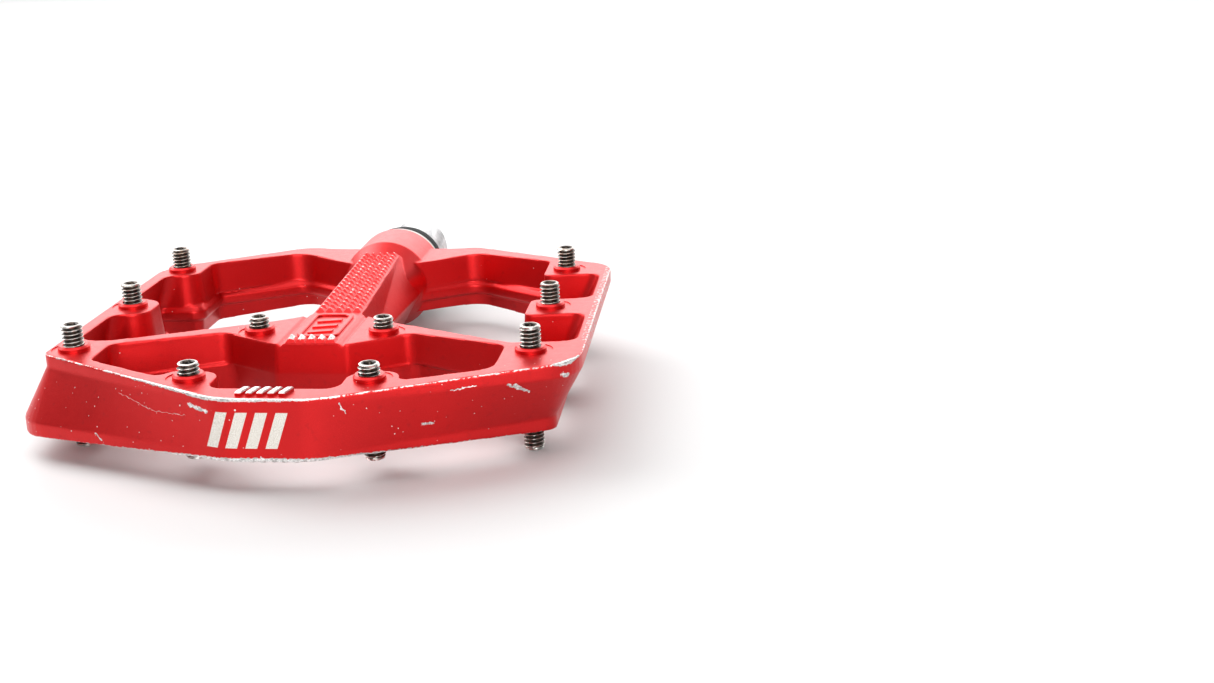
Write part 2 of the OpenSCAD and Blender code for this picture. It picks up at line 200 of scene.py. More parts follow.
def forward_window(z):
    """Window in front of the housing, with the pockets between its rail tabs, at a height over the middle."""
    outer = POCKET_X + WALL_LEAN * z
    (a, b), (c, d) = POCKETS
    return [
        (3, 0, 1), (8.6, -4.6, 2), (TAB_X, -23.8, 4), (outer, a, 2.5), (outer, b, 2.5), (TAB_X, b, 1.8),
        (TAB_X, c, 1.8), (outer, c, 2.5), (outer, d, 2.5), (TAB_X, d, 1.8), (TAB_X, 37.3, 2), (20.3, 48, 5),
        (8.2, 40.4, 3), (3, 38, 1),
    ]


def rearward_window(z):
    """The same behind the housing, where the wall leans the other way and the tabs are rounder."""
    outer = -POCKET_X + WALL_LEAN * z
    (a, b), (c, d) = POCKETS
    return [
        (-3, 0, 1), (-3, 38, 1), (-8.2, 40.4, 3), (-20.8, 48.6, 6), (-TAB_X, 35.7, 3), (-TAB_X, d, 4),
        (outer, d, 3), (outer, c, 3), (-TAB_X, c, 4), (-TAB_X, b, 4), (outer, b, 3), (outer, a, 3),
        (-TAB_X, -23, 4), (-8.6, -4.4, 2),
    ]


OUTBOARD_WINDOW = [
    (-11.9, -48, 3), (11.9, -48, 3), (11.9, -38.7, 3.6), (21.1, -38.7, 3.6), (21.9, -44.4, 2),
    (37.9, -39.2, 3.5), (38.1, -25.6, 3), (18, -15.4, 3), (7, -22, 2), (-7, -22, 2),
    (-18.8, -15.2, 3), (-38.2, -25.7, 3), (-38, -35.2, 2), (-22.2, -42.9, 2), (-21.1, -38.7, 3.6),
    (-11.9, -38.7, 3.6),
]

# Heights of the platform's faces: flat across the middle, then rising to both rails
FLAT_HALF = 12
CENTRE_TOP = 5.8
DISH = (7.05 - CENTRE_TOP) / (43.5 - FLAT_HALF)
STRIP_Z = 4.6
EDGE_TOP = CENTRE_TOP + DISH * (FAR_REACH - FLAT_HALF)
WALL_LEAN = (FAR_REACH - NEAR_REACH) / (STRIP_Z + EDGE_TOP)


def face_height(x):
    return CENTRE_TOP + DISH * np.maximum(np.abs(x) - FLAT_HALF, 0)


# ---- Mesh helpers ----------------------------------------------------------------------------------


def mesh_object(name, points, faces):
    """A mesh in millimetres whose faces point outwards."""
    mesh = bpy.data.meshes.new(name)
    mesh.from_pydata([tuple(p) for p in points], [], [tuple(f) for f in faces])
    bm = bmesh.new()
    bm.from_mesh(mesh)
    bmesh.ops.recalc_face_normals(bm, faces=bm.faces)
    bm.to_mesh(mesh)
    bm.free()
    obj = bpy.data.objects.new(name, mesh)
    bpy.context.scene.collection.objects.link(obj)
    return obj


def loft(rings, closed_ends=True):
    """Points and faces of a solid through rings that have the same number of points."""
    count = len(rings[0])
    points = [p for ring in rings for p in ring]
    faces = []
    for k in range(len(rings) - 1):
        for i in range(count):
            j = (i + 1) % count
            faces.append((k * count + i, k * count + j, (k + 1) * count + j, (k + 1) * count + i))
    if closed_ends:
        faces.append(range(count - 1, -1, -1))
        faces.append(range((len(rings) - 1) * count, len(rings) * count))
    return points, faces


def at_height(outline, z):
    return [(x, y, z) for x, y in outline]


def capped(rings, first_y, last_y):
    """Solid through rings around Y, closed by a point on the axis at each end."""
    count = len(rings[0])
    points, faces = loft(rings, closed_ends=False)
    first, last = len(points), len(points) + 1
    points += [(0, first_y, 0), (0, last_y, 0)]
    end = (len(rings) - 1) * count
    faces += [(first, (i + 1) % count, i) for i in range(count)]
    faces += [(last, end + i, end + (i + 1) % count) for i in range(count)]
    return points, faces


def about_spindle(profile, count=96):
    """Closed solid of revolution about Y through (radius, y) stations, the end ones on the axis."""
    angles = [2 * math.pi * i / count for i in range(count)]
    rings = [[(r * math.cos(a), y, r * math.sin(a)) for a in angles] for r, y in profile[1:-1]]
    return capped(rings, profile[0][1], profile[-1][1])


def circle(x, y, r, z, count=64):
    angles = [2 * math.pi * i / count for i in range(count)]
    return [(x + r * math.cos(a), y + r * math.sin(a), z) for a in angles]


def upright(x, y, stations, count=64):
    """Closed solid of revolution about a vertical line, through (radius, z) stations."""
    return loft([circle(x, y, r, z, count) for r, z in stations])


def both_faces(points):
    """The same points turned half a turn about the spindle."""
    return [(-x, y, -z) for x, y, z in points]


def joined(parts):
    """Several solids as one list of points and faces."""
    points, faces = [], []
    for part_points, part_faces in parts:
        offset = len(points)
        points += list(part_points)
        faces += [tuple(offset + i for i in face) for face in part_faces]
    return points, faces


def combine(obj, operation, parts):
    """Adds, cuts or intersects the solids, and applies it."""
    tool = mesh_object("tool", *joined(parts))
    modifier = obj.modifiers.new("combine", "BOOLEAN")
    modifier.operation = operation
    modifier.solver = "MANIFOLD"
    modifier.object = tool
    apply_modifiers(obj)
    bpy.data.objects.remove(tool)


def apply_modifiers(obj):
    graph = bpy.context.evaluated_depsgraph_get()
    mesh = bpy.data.meshes.new_from_object(obj.evaluated_get(graph))
    obj.modifiers.clear()
    old = obj.data
    obj.data = mesh
    bpy.data.meshes.remove(old)


def coordinates(mesh):
    co = np.empty(len(mesh.vertices) * 3)
    mesh.vertices.foreach_get("co", co)
    return co.reshape(-1, 3)


def placed(obj, name, body, slot, *nodes):
    """Moves a finished piece from millimetres into the frame, parents it to its body's empty and hides the CAD
    nodes it replaces.
    """
    co = coordinates(obj.data) * MM
    co[:, 1] += CENTRE_Y
    obj.data.vertices.foreach_set("co", co.ravel())
    obj.name = obj.data.name = name
    obj.data.update()
    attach(obj, body)
    if nodes:
        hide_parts(*nodes)
    return obj


def attribute(obj, name, values):
    layer = obj.data.attributes.new(name, "FLOAT", "POINT")
    layer.data.foreach_set("value", np.asarray(values, np.float32))


def shade(obj, sharp_degrees=None):
    obj.data.shade_smooth()
    if sharp_degrees is not None:
        obj.data.set_sharp_from_angle(angle=math.radians(sharp_degrees))


# ---- Platform --------------------------------------------------------------------------------------

# The rib left by the parting line, below the middle plane: its two edges, and how far it stands out
RIB_TOP, RIB_LOW = 1.2, 2.9
RIB_OUT = 1.2
DRAFT, UPPER_DRAFT = 0.3, 0.5
BEYOND = 30

HOUSING_FRONT, RAMP_START, RAMP_END = -22, -1, 38.5
BOSS_START, BOSS_END, BOSS_R = 43, 56.3, 10.2
PAD_TOP, RAMP_TOP = 6.0, 8.2
PAD_HALF, RAMP_HALF = 5.0, 4.2
# Half width of the housing at its sides' widest, along the pad and at the ramp's end
WAIST_HALF, RAMP_WAIST_HALF = 6.8, 8.6

RAIL_PINS = [(43.5, y) for y in (-29.5, 0, 29.5)]
BRIDGE_PINS = [(12.4, -14)]
OUTBOARD_PINS = [(16.5, -43.1)]
PIN_R = 2.0
RING_R = 2.95


def shell():
    """Outer walls: an upright strip under the top edge, and walls that lean over to the other outline."""
    upper = rounded(UPPER_OUTLINE)
    lower = rounded(mirrored(UPPER_OUTLINE))
    steps = 10
    rings = [at_height(lower, -EDGE_TOP - 1)]
    for k in range(steps + 1):
        t = k / steps
        rings.append(at_height(lower + (upper - lower) * t, STRIP_Z * (2 * t - 1)))
    rings.append(at_height(upper, EDGE_TOP + 1))
    return loft(rings)


def dished_slab():
    """The space between the two dished faces, wider and longer than the platform."""
    wide, long = 60, 70
    upper = [(x, face_height(x)) for x in (wide, FLAT_HALF, -FLAT_HALF, -wide)]
    section = [(-x, -z) for x, z in upper] + upper
    return loft([[(x, y, z) for x, z in section] for y in (-long, long)])


def half_window(corners, side, stations):
    """Cuts one window from the middle plane outwards. corners(z) gives its outline over the middle."""
    rings = [at_height(rounded(inset(corners(z), d), 8, 2), side * z) for z, d in stations]
    return loft(rings)


def window_tools():
    above = [(-0.1, UPPER_DRAFT), (CENTRE_TOP, 0), (11, -DRAFT)]
    ribbed = [
        (0.05, DRAFT), (RIB_TOP, RIB_OUT), (RIB_LOW, RIB_OUT), (RIB_LOW + 0.6, DRAFT), (CENTRE_TOP, 0),
        (11, -DRAFT),
    ]
    plain = [(-0.02, 2 * DRAFT), (CENTRE_TOP, 0), (11, -DRAFT)]
    tools = []
    for window, opposite in ((forward_window, rearward_window), (rearward_window, forward_window)):
        tools.append(half_window(window, 1, above))
        tools.append(half_window(lambda z: mirrored(opposite(z)), -1, ribbed))
    tools.append(half_window(lambda z: OUTBOARD_WINDOW, 1, plain))
    tools.append(half_window(lambda z: mirrored(OUTBOARD_WINDOW), -1, plain))
    return tools


def housing():
    """Flat pad, ramp and round boss over the spindle."""
    def section(y, pad, top, middle):
        ledge = 0.8
        half = [(pad, top), (-pad, top), (-middle, ledge)]
        return [(x, y, z) for x, z in half + [(-x, -z) for x, z in half]]

    beam = loft([
        section(HOUSING_FRONT, PAD_HALF, PAD_TOP, WAIST_HALF),
        section(RAMP_START, PAD_HALF, PAD_TOP, WAIST_HALF),
        section(RAMP_END, RAMP_HALF, RAMP_TOP, RAMP_WAIST_HALF),
    ])
    boss = about_spindle([
        (0, RAMP_END - 3), (RAMP_TOP - 0.8, RAMP_END - 3), (BOSS_R, BOSS_START - 0.5),
        (BOSS_R, BOSS_END - 0.6), (BOSS_R - 0.6, BOSS_END), (0, BOSS_END),
    ])
    return [beam, boss]


def pin_places():
    """Where each pair of pins is: x, y, the tip's height, and how far it stands over its collar."""
    places = []
    for side in (1, -1):
        places += [(side * x, y, RAIL_TIP, 4.0) for x, y in RAIL_PINS]
        places += [(side * x, y, INNER_TIP, 2.0) for x, y in BRIDGE_PINS + OUTBOARD_PINS]
    return places


def pin_rings():
    """Raised collars around the pins, through the platform from face to face."""
    chamfer = 0.35
    rings = []
    for x, y, tip, stand in pin_places():
        top = tip - stand
        half = [(RING_R, top - chamfer), (RING_R - chamfer, top)]
        rings.append(upright(x, y, [(r, -z) for r, z in reversed(half)] + half))
    return rings


def pin_holes():
    hole_r = PIN_R + 0.03
    return [upright(x, y, [(hole_r, -BEYOND), (hole_r, BEYOND)], 48) for x, y, _, _ in pin_places()]


def bores():
    """Stepped bore for the tip bearing, the bushing, the crank bearing and the lock collar."""
    return about_spindle([
        (0, -17), (5, -17), (5, 20), (6, 20), (6, 38), (7.2, 38), (7.2, 43), (9, 43), (9, 60), (0, 60),
    ])


def side_grooves():
    """Shallow V-grooves along both sides of the flat pad."""
    tools = []
    half_width, over, under = 0.85, CENTRE_TOP + 0.5, CENTRE_TOP - 0.7
    for side in (1, -1):
        x = side * 6.1
        for turn in (1, -1):
            section = [(x - half_width, over), (x, under), (x + half_width, over)]
            rings = [[(turn * px, y, turn * pz) for px, pz in section] for y in (-26, -0.5)]
            tools.append(loft(rings))
    return tools


def soften(obj, voxel, passes):
    """Rounds all edges a little, as forging and tumbling do."""
    remesh = obj.modifiers.new("remesh", "REMESH")
    remesh.mode = "VOXEL"
    remesh.voxel_size = voxel
    smooth = obj.modifiers.new("smooth", "SMOOTH")
    smooth.factor = 0.5
    smooth.iterations = passes
    apply_modifiers(obj)


def ring_solid(rings):
    """A closed ring whose section goes through the given loops and back to the first."""
    count = len(rings[0])
    points, faces = loft(rings, closed_ends=False)
    last = (len(rings) - 1) * count
    faces += [(last + i, last + (i + 1) % count, (i + 1) % count, i) for i in range(count)]
    return points, faces


def spot_face_rings():
    """Shallow flat rings that cut into the sloping faces around the pin collars."""
    tools = []
    inner, outer = RING_R + 0.05, RING_R + 1.2
    for x, y, _, _ in pin_places():
        floor_z = float(face_height(x)) - 0.03
        for turn in (1, -1):
            near, far = turn * floor_z, turn * (floor_z + 0.8)
            section = ((inner, near), (outer, near), (outer, far), (inner, far))
            tools.append(ring_solid([circle(x, y, r, z) for r, z in section]))
    return tools


def frustum(base, top, low, high):
    """A four-sided block between two rectangles (x0, x1, y0, y1)."""
    rings = [[(r[0], r[2], z), (r[1], r[2], z), (r[1], r[3], z), (r[0], r[3], z)]
             for r, z in ((base, low), (top, high))]
    return loft(rings)


def pyramid(x, y, half_x, half_y, low, height):
    """A blunt four-sided point that stands on a surface at the height low, and starts under it."""
    tip = 0.16
    sink = 0.3
    top = (x - tip * half_x, x + tip * half_x, y - tip * half_y, y + tip * half_y)
    grown = 1 + (1 - tip) * sink / height
    base = (x - grown * half_x, x + grown * half_x, y - grown * half_y, y + grown * half_y)
    return frustum(base, top, low - sink, low + height)


def knurling():
    """Rows of small pyramids on the ramp, which narrows and climbs towards the crank."""
    columns, rows = 5, 20
    blocks = []
    for row in range(rows):
        t = (row + 0.5) / rows
        y = RAMP_START + (RAMP_END - RAMP_START) * t
        half_width = PAD_HALF + (RAMP_HALF - PAD_HALF) * t - 0.25
        z = PAD_TOP + (RAMP_TOP - PAD_TOP) * t
        pitch = 2 * half_width / columns
        for column in range(columns):
            x = -half_width + (column + 0.5) * pitch
            blocks.append(pyramid(x, y, 0.47 * pitch, 0.93, z, 0.75))
    return blocks


def front_teeth():
    """A row of points along the housing's front edge."""
    count, pitch, y = 5, 1.95, -20.6
    places = [(k - (count - 1) / 2) * pitch - 0.15 for k in range(count)]
    return [pyramid(x, y, 0.95, 1.3, PAD_TOP, 1.25) for x in places]


def grip_ridges():
    """Slanted ridges on the outboard wall's face."""
    ridges = []
    count, pitch, width, slant = 5, 1.95, 1.1, 0.8
    near, far = -52.2, -49.1
    low, high = CENTRE_TOP - 0.3, CENTRE_TOP + 0.8
    for k in range(count):
        x = -5.2 + k * pitch
        section = [(x, near), (x + width, near), (x + width + slant, far), (x + slant, far)]
        middle = np.mean(section, axis=0)
        rings = [[(*p, low) for p in section], [(*p, high - 0.25) for p in section],
                 [(*(middle + (np.array(p) - middle) * 0.82), high) for p in section]]
        ridges.append(loft(rings))
    return ridges


def badge():
    """A plain raised frame with slanted bars, on the flat pad."""
    def plate(half_x, near, far, radius):
        corners = [(-half_x, near), (half_x, near), (half_x, far), (-half_x, far)]
        return rounded([(x, y, radius) for x, y in corners], 8, 1)

    low, top = PAD_TOP - 0.3, PAD_TOP + 0.45
    shoulder = top - 0.15
    outer, inner = plate(4.15, -18.7, -3.0, 2.2), plate(3.2, -17.75, -3.95, 1.4)
    outer_rim, inner_rim = plate(4.0, -18.55, -3.15, 2.05), plate(3.35, -17.9, -3.8, 1.5)
    parts = [ring_solid([
        at_height(outer, low), at_height(outer, shoulder), at_height(outer_rim, top),
        at_height(inner_rim, top), at_height(inner, shoulder), at_height(inner, low),
    ])]
    for y in (-14.6, -10.9, -7.2):
        section = [(-2.3, y - 1.5), (2.3, y - 0.3), (2.3, y + 0.9), (-2.3, y - 0.3)]
        parts.append(loft([at_height(section, low), at_height(section, PAD_TOP + 0.35)]))
    return parts


def with_turned(parts):
    """The parts, and the same parts turned half a turn about the spindle."""
    return parts + [(both_faces(points), faces) for points, faces in parts]


def edge_distance(points, outline, side):
    """Distance of each point to the outer edge of one face."""
    nearest = np.full(len(points), 1e9)
    height = points[:, 2] - side * face_height(points[:, 0])
    closed = np.vstack([outline, outline[:1]])
    for a, b in zip(closed[:-1], closed[1:]):
        step = b - a
        length = step @ step
        if length < 1e-9:
            continue
        t = np.clip(((points[:, :2] - a) @ step) / length, 0, 1)
        away = points[:, :2] - (a + t[:, None] * step)
        nearest = np.minimum(nearest, np.einsum("ij,ij->i", away, away))
    return np.sqrt(nearest + height ** 2)


def bump(x, centre, width):
    """1 at the centre, falling smoothly to 0 either side."""
    return np.exp(-((x - centre) / width) ** 2)


def knurl_tips(x, y, height):
    """Worn points of the teeth at the housing's front edge, and less of the knurled ramp's."""
    ramp = PAD_TOP + (RAMP_TOP - PAD_TOP) * np.clip((y - RAMP_START) / (RAMP_END - RAMP_START), 0, 1)
    on_pad = np.abs(x) < PAD_HALF + 0.3
    teeth = np.where(on_pad & (y > -22.3) & (y < -19.2), height - PAD_TOP - 0.55, -9)
    knurl = np.where(on_pad & (y > RAMP_START) & (y < RAMP_END), height - ramp - 0.70, -9)
    return np.maximum(teeth, knurl)


def ridge_tops(x, y, height):
    """Worn tops of the slanted ridges on the outboard wall."""
    near = (np.abs(x) < 9) & (y > -52.5) & (y < -48.8)
    return np.where(near, (height - CENTRE_TOP - 0.5) * 2.5, -9)


def wear_depth(points):
    """How far inside the worn band along the outer edges each point lies, in millimetres."""
    x, y, z = points.T
    outboard = 1 / (1 + np.exp((y + 30) / 2))
    leading = 1 / (1 + np.exp(-(x - 48) / 1.0)) * (1 - outboard)
    trailing = 1 / (1 + np.exp((x + 44) / 1.0)) * (1 - outboard)
    upper = rounded(UPPER_OUTLINE, 10, 3)
    lower = rounded(mirrored(UPPER_OUTLINE), 10, 3)
    corner = bump(x, 51.8, 2.2) * bump(y, -38, 3)
    top_width = 0.02 + outboard * (0.2 + 0.36 * bump(x, -9, 15) + 0.8 * corner) + 0.22 * leading
    low_width = -0.05 + outboard * (0.2 + 0.62 * bump(x, -2, 19)) + 0.25 * trailing
    strip = np.where((z > STRIP_Z - 0.6) & (x > FAR_REACH - 1.2), leading * 0.75, -9)
    top = top_width - edge_distance(points, upper, 1)
    low = low_width - edge_distance(points, lower, -1)
    tips = np.maximum(knurl_tips(x, y, np.abs(z)), ridge_tops(x, y, np.abs(z)))
    return np.clip(np.maximum.reduce([top, low, strip - 0.78, tips]), -2, 2)


def build_platform():
    body = mesh_object("platform", *shell())
    combine(body, "INTERSECT", [dished_slab()])
    for tool in window_tools():
        combine(body, "DIFFERENCE", [tool])
    for solid in housing():
        combine(body, "UNION", [solid])
    combine(body, "DIFFERENCE", side_grooves())
    soften(body, 0.25, 3)
    raised = badge() + knurling() + front_teeth() + grip_ridges()
    combine(body, "UNION", pin_rings() + with_turned(raised))
    combine(body, "DIFFERENCE", [bores()] + spot_face_rings() + pin_holes())
    attribute(body, "wear", wear_depth(coordinates(body.data)))
    return body


# ---- Threads ---------------------------------------------------------------------------------------


def thread_reach(turns, major, depth):
    """Radius of a 60 degree thread whose crest is at whole numbers of turns."""
    phase = turns - math.floor(turns)
    ramp = abs(phase - 0.5) * 2
    return major - depth * min(max((1 - ramp) * 1.25 - 0.08, 0), 1)


def hex_reach(turn, across_flats):
    """Distance from a hexagon's middle to its side, at a share of a turn."""
    return across_flats / 2 / math.cos(math.radians((turn * 360 + 30) % 60 - 30))


def set_screw(x, y, tip, pitch, side, twist):
    """A threaded set screw with a hex socket, standing up (side 1) or hanging down (side -1)."""
    count = 36
    bottom, chamfer, rim = 0.6, 0.4, 0.12
    depth = 0.6 * pitch
    threaded = tip - bottom - 2 * chamfer
    steps = int(threaded / pitch * (9))
    heights = [bottom, bottom + chamfer]
    heights += [bottom + chamfer + threaded * k / steps for k in range(1, steps)]
    heights += [tip - chamfer, tip - rim, tip]
    crown = {tip - rim: PIN_R - 0.2, tip: PIN_R - 0.38}
    rings, crest = [], []
    for z in heights:
        ring = []
        for i in range(count):
            turn = i / count
            reach = min(thread_reach(z / pitch - turn + twist, PIN_R, depth), PIN_R)
            if z == bottom:
                reach = min(reach, PIN_R - 0.45)
            reach = crown.get(z, reach)
            ring.append((reach, turn, z))
            # Crest level: 1 on the crests and the tip, 0 in the thread roots, which the pin material turns into
            # painted shade in the roots
            crest.append((reach - (PIN_R - depth)) / depth if z < tip - chamfer else 1.0)
        rings.append(ring)
    # Socket rim, inside and bottom, with levels that fall with depth, so the socket is painted darker the deeper
    # it goes: painted shade
    for socket_r, z, level in ((1.32, tip, 0.75), (None, tip - 0.2, 0.3), (None, tip - 2.2, 0.0)):
        rings.append([(socket_r or hex_reach(i / count, 2.0), i / count, z) for i in range(count)])
        crest += [level] * count
    placed_rings = []
    for ring in rings:
        angles = [(r, 2 * math.pi * t, z) for r, t, z in ring]
        placed_rings.append([(x + r * math.cos(a), y + r * math.sin(a) * side, side * z)
                             for r, a, z in angles])
    points, faces = loft(placed_rings)
    return points, faces, crest


def pin_group(name, places, tip, side, node, seed):
    """The set screws of one CAD node, as one piece."""
    random = np.random.default_rng(seed)
    parts, crest = [], []
    for x, y in places:
        points, faces, levels = set_screw(x, y, tip, 0.75, side, random.random())
        parts.append((points, faces))
        crest += levels
    obj = mesh_object(name, *joined(parts))
    attribute(obj, "crest", crest)
    attribute(obj, "far", [(p[1] + 45) / 90 for p in coordinates(obj.data)])
    shade(obj, 50)
    obj.data.materials.append(MATERIALS["pin"])
    return placed(obj, name, "platform", "pin_steel", node)


def build_pins():
    groups = (("leading", RAIL_PINS, RAIL_TIP, 1), ("trailing", RAIL_PINS, RAIL_TIP, -1))
    seed = 1
    for label, places, tip, forward in groups:
        for face, side in (("upper", 1), ("lower", -1)):
            node = f"{label}_pins_{face}"
            pin_group("threaded_" + node, [(forward * x, y) for x, y in places], tip, side, node, seed)
            seed += 1
    for label, places in (("bridge", BRIDGE_PINS), ("outboard", OUTBOARD_PINS)):
        for face, side in (("upper", 1), ("lower", -1)):
            node = f"{label}_pins_{face}"
            spots = [(forward * x, y) for x, y in places for forward in (1, -1)]
            pin_group("threaded_" + node, spots, INNER_TIP, side, node, seed)
            seed += 1


SHOULDER = -CENTRE_Y / MM
THREAD_R = MOUNT["dims"]["r_mm"]
THREAD_PITCH, THREAD_DEPTH = 1.27, 0.78
SPINDLE_END = SHOULDER + MOUNT["dims"]["length_mm"] + 1
RELIEF_R = 6.5


def spindle_profile():
    """Stations (radius, y) along the spindle, with the first and last row of its crank thread."""
    stations = [
        (0, -4), (1.5, -4), (1.5, -13), (2.5, -13), (2.5, -9), (3.2, -9), (3.9, -5), (5, 22), (5, 40.8),
        (6, 40.8), (6, 41.9), (5.6, 41.9), (5.6, 42.9), (6, 42.9), (6, 47), (6.9, 47), (6.9, 64.4),
        (7.8, 64.4), (8, 64.6), (8, SHOULDER - 0.2), (7.8, SHOULDER), (RELIEF_R, SHOULDER),
        (RELIEF_R, SHOULDER + 0.6),
    ]
    first = len(stations)
    threaded = SPINDLE_END - SHOULDER - 1.6
    rows = int(threaded / THREAD_PITCH * 10)
    stations += [(THREAD_R, SHOULDER + 0.6 + threaded * k / rows) for k in range(1, rows + 1)]
    stations += [(THREAD_R - 1, SPINDLE_END), (5.1, SPINDLE_END), (4.6, SPINDLE_END - 0.5)]
    stations += [(4.61, SPINDLE_END - 9), (0, SPINDLE_END - 9)]
    return stations, first, first + rows


def crank_thread(y, turn):
    """Radius of the crank thread and how near its crest that is, fading in from the shoulder's relief."""
    full = thread_reach(y / THREAD_PITCH - turn, THREAD_R, THREAD_DEPTH)
    level = 1 - (THREAD_R - full) / THREAD_DEPTH
    fade = min(y - SHOULDER - 0.5, 1)
    if fade < 1:
        return RELIEF_R + (full - RELIEF_R) * max(fade, 0), level
    chamfer = max(y - SPINDLE_END + 1, 0)
    return min(full, THREAD_R - chamfer), level


def build_spindle():
    """The stepped spindle, with its crank thread and hex socket."""
    stations, thread_start, thread_end = spindle_profile()
    socket_start = len(stations) - 3
    count = 96
    rings, crest = [], []
    for k, (r, y) in enumerate(stations[1:-1], 1):
        ring = []
        for i in range(count):
            reach, level = r, 1.0
            if thread_start <= k < thread_end:
                reach, level = crank_thread(y, i / count)
            elif k >= socket_start:
                # Hex socket at level 0.2, which the spindle material paints darker: painted shade
                reach, level = hex_reach(i / count, 8.0), 0.2
            angle = 2 * math.pi * i / count
            ring.append((reach * math.cos(angle), y, reach * math.sin(angle)))
            crest.append(level)
        rings.append(ring)
    obj = mesh_object("threaded_spindle", *capped(rings, stations[0][1], stations[-1][1]))
    attribute(obj, "crest", crest + [0, 0])
    shade(obj, 35)
    obj.data.materials.append(MATERIALS["spindle"])
    placed(obj, "threaded_spindle", "spindle", "spindle_steel", "spindle")


# ---- Materials -------------------------------------------------------------------------------------


class Nodes:
    """A short way to write a material's nodes. Inputs are numbers, colours or other nodes' outputs."""

    def __init__(self, name):
        self.material = bpy.data.materials.new(name)
        self.material.use_nodes = True
        self.tree = self.material.node_tree
        self.shader = self.tree.nodes["Principled BSDF"]
        place = self.tree.nodes.new("ShaderNodeTexCoord").outputs["Object"]
        self.mm = self.vector("SCALE", place, 1 / MM)

    def put(self, socket, value):
        if isinstance(value, bpy.types.NodeSocket):
            self.tree.links.new(value, socket)
        elif isinstance(value, (tuple, list)) and len(value) == 3 and socket.type == "RGBA":
            socket.default_value = (*value, 1)
        else:
            socket.default_value = value

    def vector(self, operation, a, b=None):
        node = self.tree.nodes.new("ShaderNodeVectorMath")
        node.operation = operation
        self.put(node.inputs[0], a)
        if operation == "SCALE":
            self.put(node.inputs["Scale"], b)
        elif b is not None:
            self.put(node.inputs[1], b)
        return node.outputs["Value" if operation in ("DOT_PRODUCT", "LENGTH", "DISTANCE") else "Vector"]

    def math(self, operation, a, b=None, c=None, clamp=False):
        node = self.tree.nodes.new("ShaderNodeMath")
        node.operation = operation
        node.use_clamp = clamp
        for socket, value in zip(node.inputs, (a, b, c)):
            if value is not None:
                self.put(socket, value)
        return node.outputs[0]

    def step(self, value, low, high):
        """0 below low, 1 above high, smooth in between."""
        node = self.tree.nodes.new("ShaderNodeMapRange")
        node.interpolation_type = "SMOOTHSTEP"
        for key, number in (("From Min", low), ("From Max", high), ("Value", value)):
            self.put(node.inputs[key], number)
        return node.outputs[0]

    def noise(self, scale, detail=2.0, place=None, roughness=0.5):
        node = self.tree.nodes.new("ShaderNodeTexNoise")
        for key, value in (("Scale", scale), ("Detail", detail), ("Roughness", roughness),
                           ("Vector", place or self.mm)):
            self.put(node.inputs[key], value)
        return node.outputs[0]

    def cells(self, scale, place=None):
        node = self.tree.nodes.new("ShaderNodeTexVoronoi")
        self.put(node.inputs["Scale"], scale)
        self.put(node.inputs["Vector"], place or self.mm)
        return node.outputs["Distance"], node.outputs["Color"]

    def mix(self, factor, a, b):
        """Mixes two colours."""
        node = self.tree.nodes.new("ShaderNodeMix")
        node.data_type = "RGBA"
        for socket, value in ((node.inputs[0], factor), (node.inputs[6], a), (node.inputs[7], b)):
            self.put(socket, value)
        return node.outputs[2]

    def blend(self, factor, a, b):
        """Mixes two numbers."""
        return self.math("ADD", a, self.math("MULTIPLY", factor, self.math("SUBTRACT", b, a)))

    def attribute(self, name):
        node = self.tree.nodes.new("ShaderNodeAttribute")
        node.attribute_name = name
        return node.outputs["Fac"]

    def split(self, vector):
        node = self.tree.nodes.new("ShaderNodeSeparateXYZ")
        self.put(node.inputs[0], vector)
        return node.outputs

    def join(self, x, y, z):
        node = self.tree.nodes.new("ShaderNodeCombineXYZ")
        for socket, value in zip(node.inputs, (x, y, z)):
            self.put(socket, value)
        return node.outputs[0]

    def colour_noise(self, scale):
        """A noise that differs along each axis."""
        node = self.tree.nodes.new("ShaderNodeTexNoise")
        self.put(node.inputs["Scale"], scale)
        self.put(node.inputs["Vector"], self.mm)
        return node.outputs["Color"]

    def bump(self, height, strength, distance_mm):
        node = self.tree.nodes.new("ShaderNodeBump")
        self.put(node.inputs["Height"], height)
        self.put(node.inputs["Strength"], strength)
        self.put(node.inputs["Distance"], distance_mm * MM)
        return node.outputs[0]

    def finish(self, **inputs):
        for key, value in inputs.items():
            self.put(self.shader.inputs[key.replace("_", " ")], value)
        return self.material


# Scratches on the outboard wall: start, end (x, z over the middle plane) and half width
SCRATCHES = [
    ((41.0, 4.4), (44.3, 2.4), 0.24), ((42.2, 4.2), (43.2, 3.2), 0.36), ((50.3, 5.1), (51.0, 4.7), 0.4),
    ((-14.0, 3.7), (-10.4, 3.0), 0.34), ((-1.0, -5.0), (0.6, -6.0), 0.16), ((31.5, 4.5), (35.5, 5.0), 0.12),
    ((26.0, -1.6), (27.6, -1.7), 0.2), ((-35.0, -4.4), (-33.6, -5.6), 0.12), ((13.0, 4.4), (14.0, 2.4), 0.1),
    ((-30.0, 3.2), (-22.0, 1.2), 0.035), ((-22.0, 1.2), (-15.0, 1.6), 0.035),
]


def stroke(n, place, start, end, radius):
    """1 near a line between two places (x, z) on a wall, in millimetres."""
    start, end = Vector((start[0], 0, start[1])), Vector((end[0], 0, end[1]))
    along = end - start
    from_start = n.vector("SUBTRACT", place, tuple(start))
    reached = n.vector("DOT_PRODUCT", from_start, tuple(along))
    t = n.math("MULTIPLY", reached, 1 / along.length_squared, clamp=True)
    away = n.vector("DISTANCE", from_start, n.vector("SCALE", tuple(along), t))
    return n.step(away, radius * 1.2, radius * 0.6)


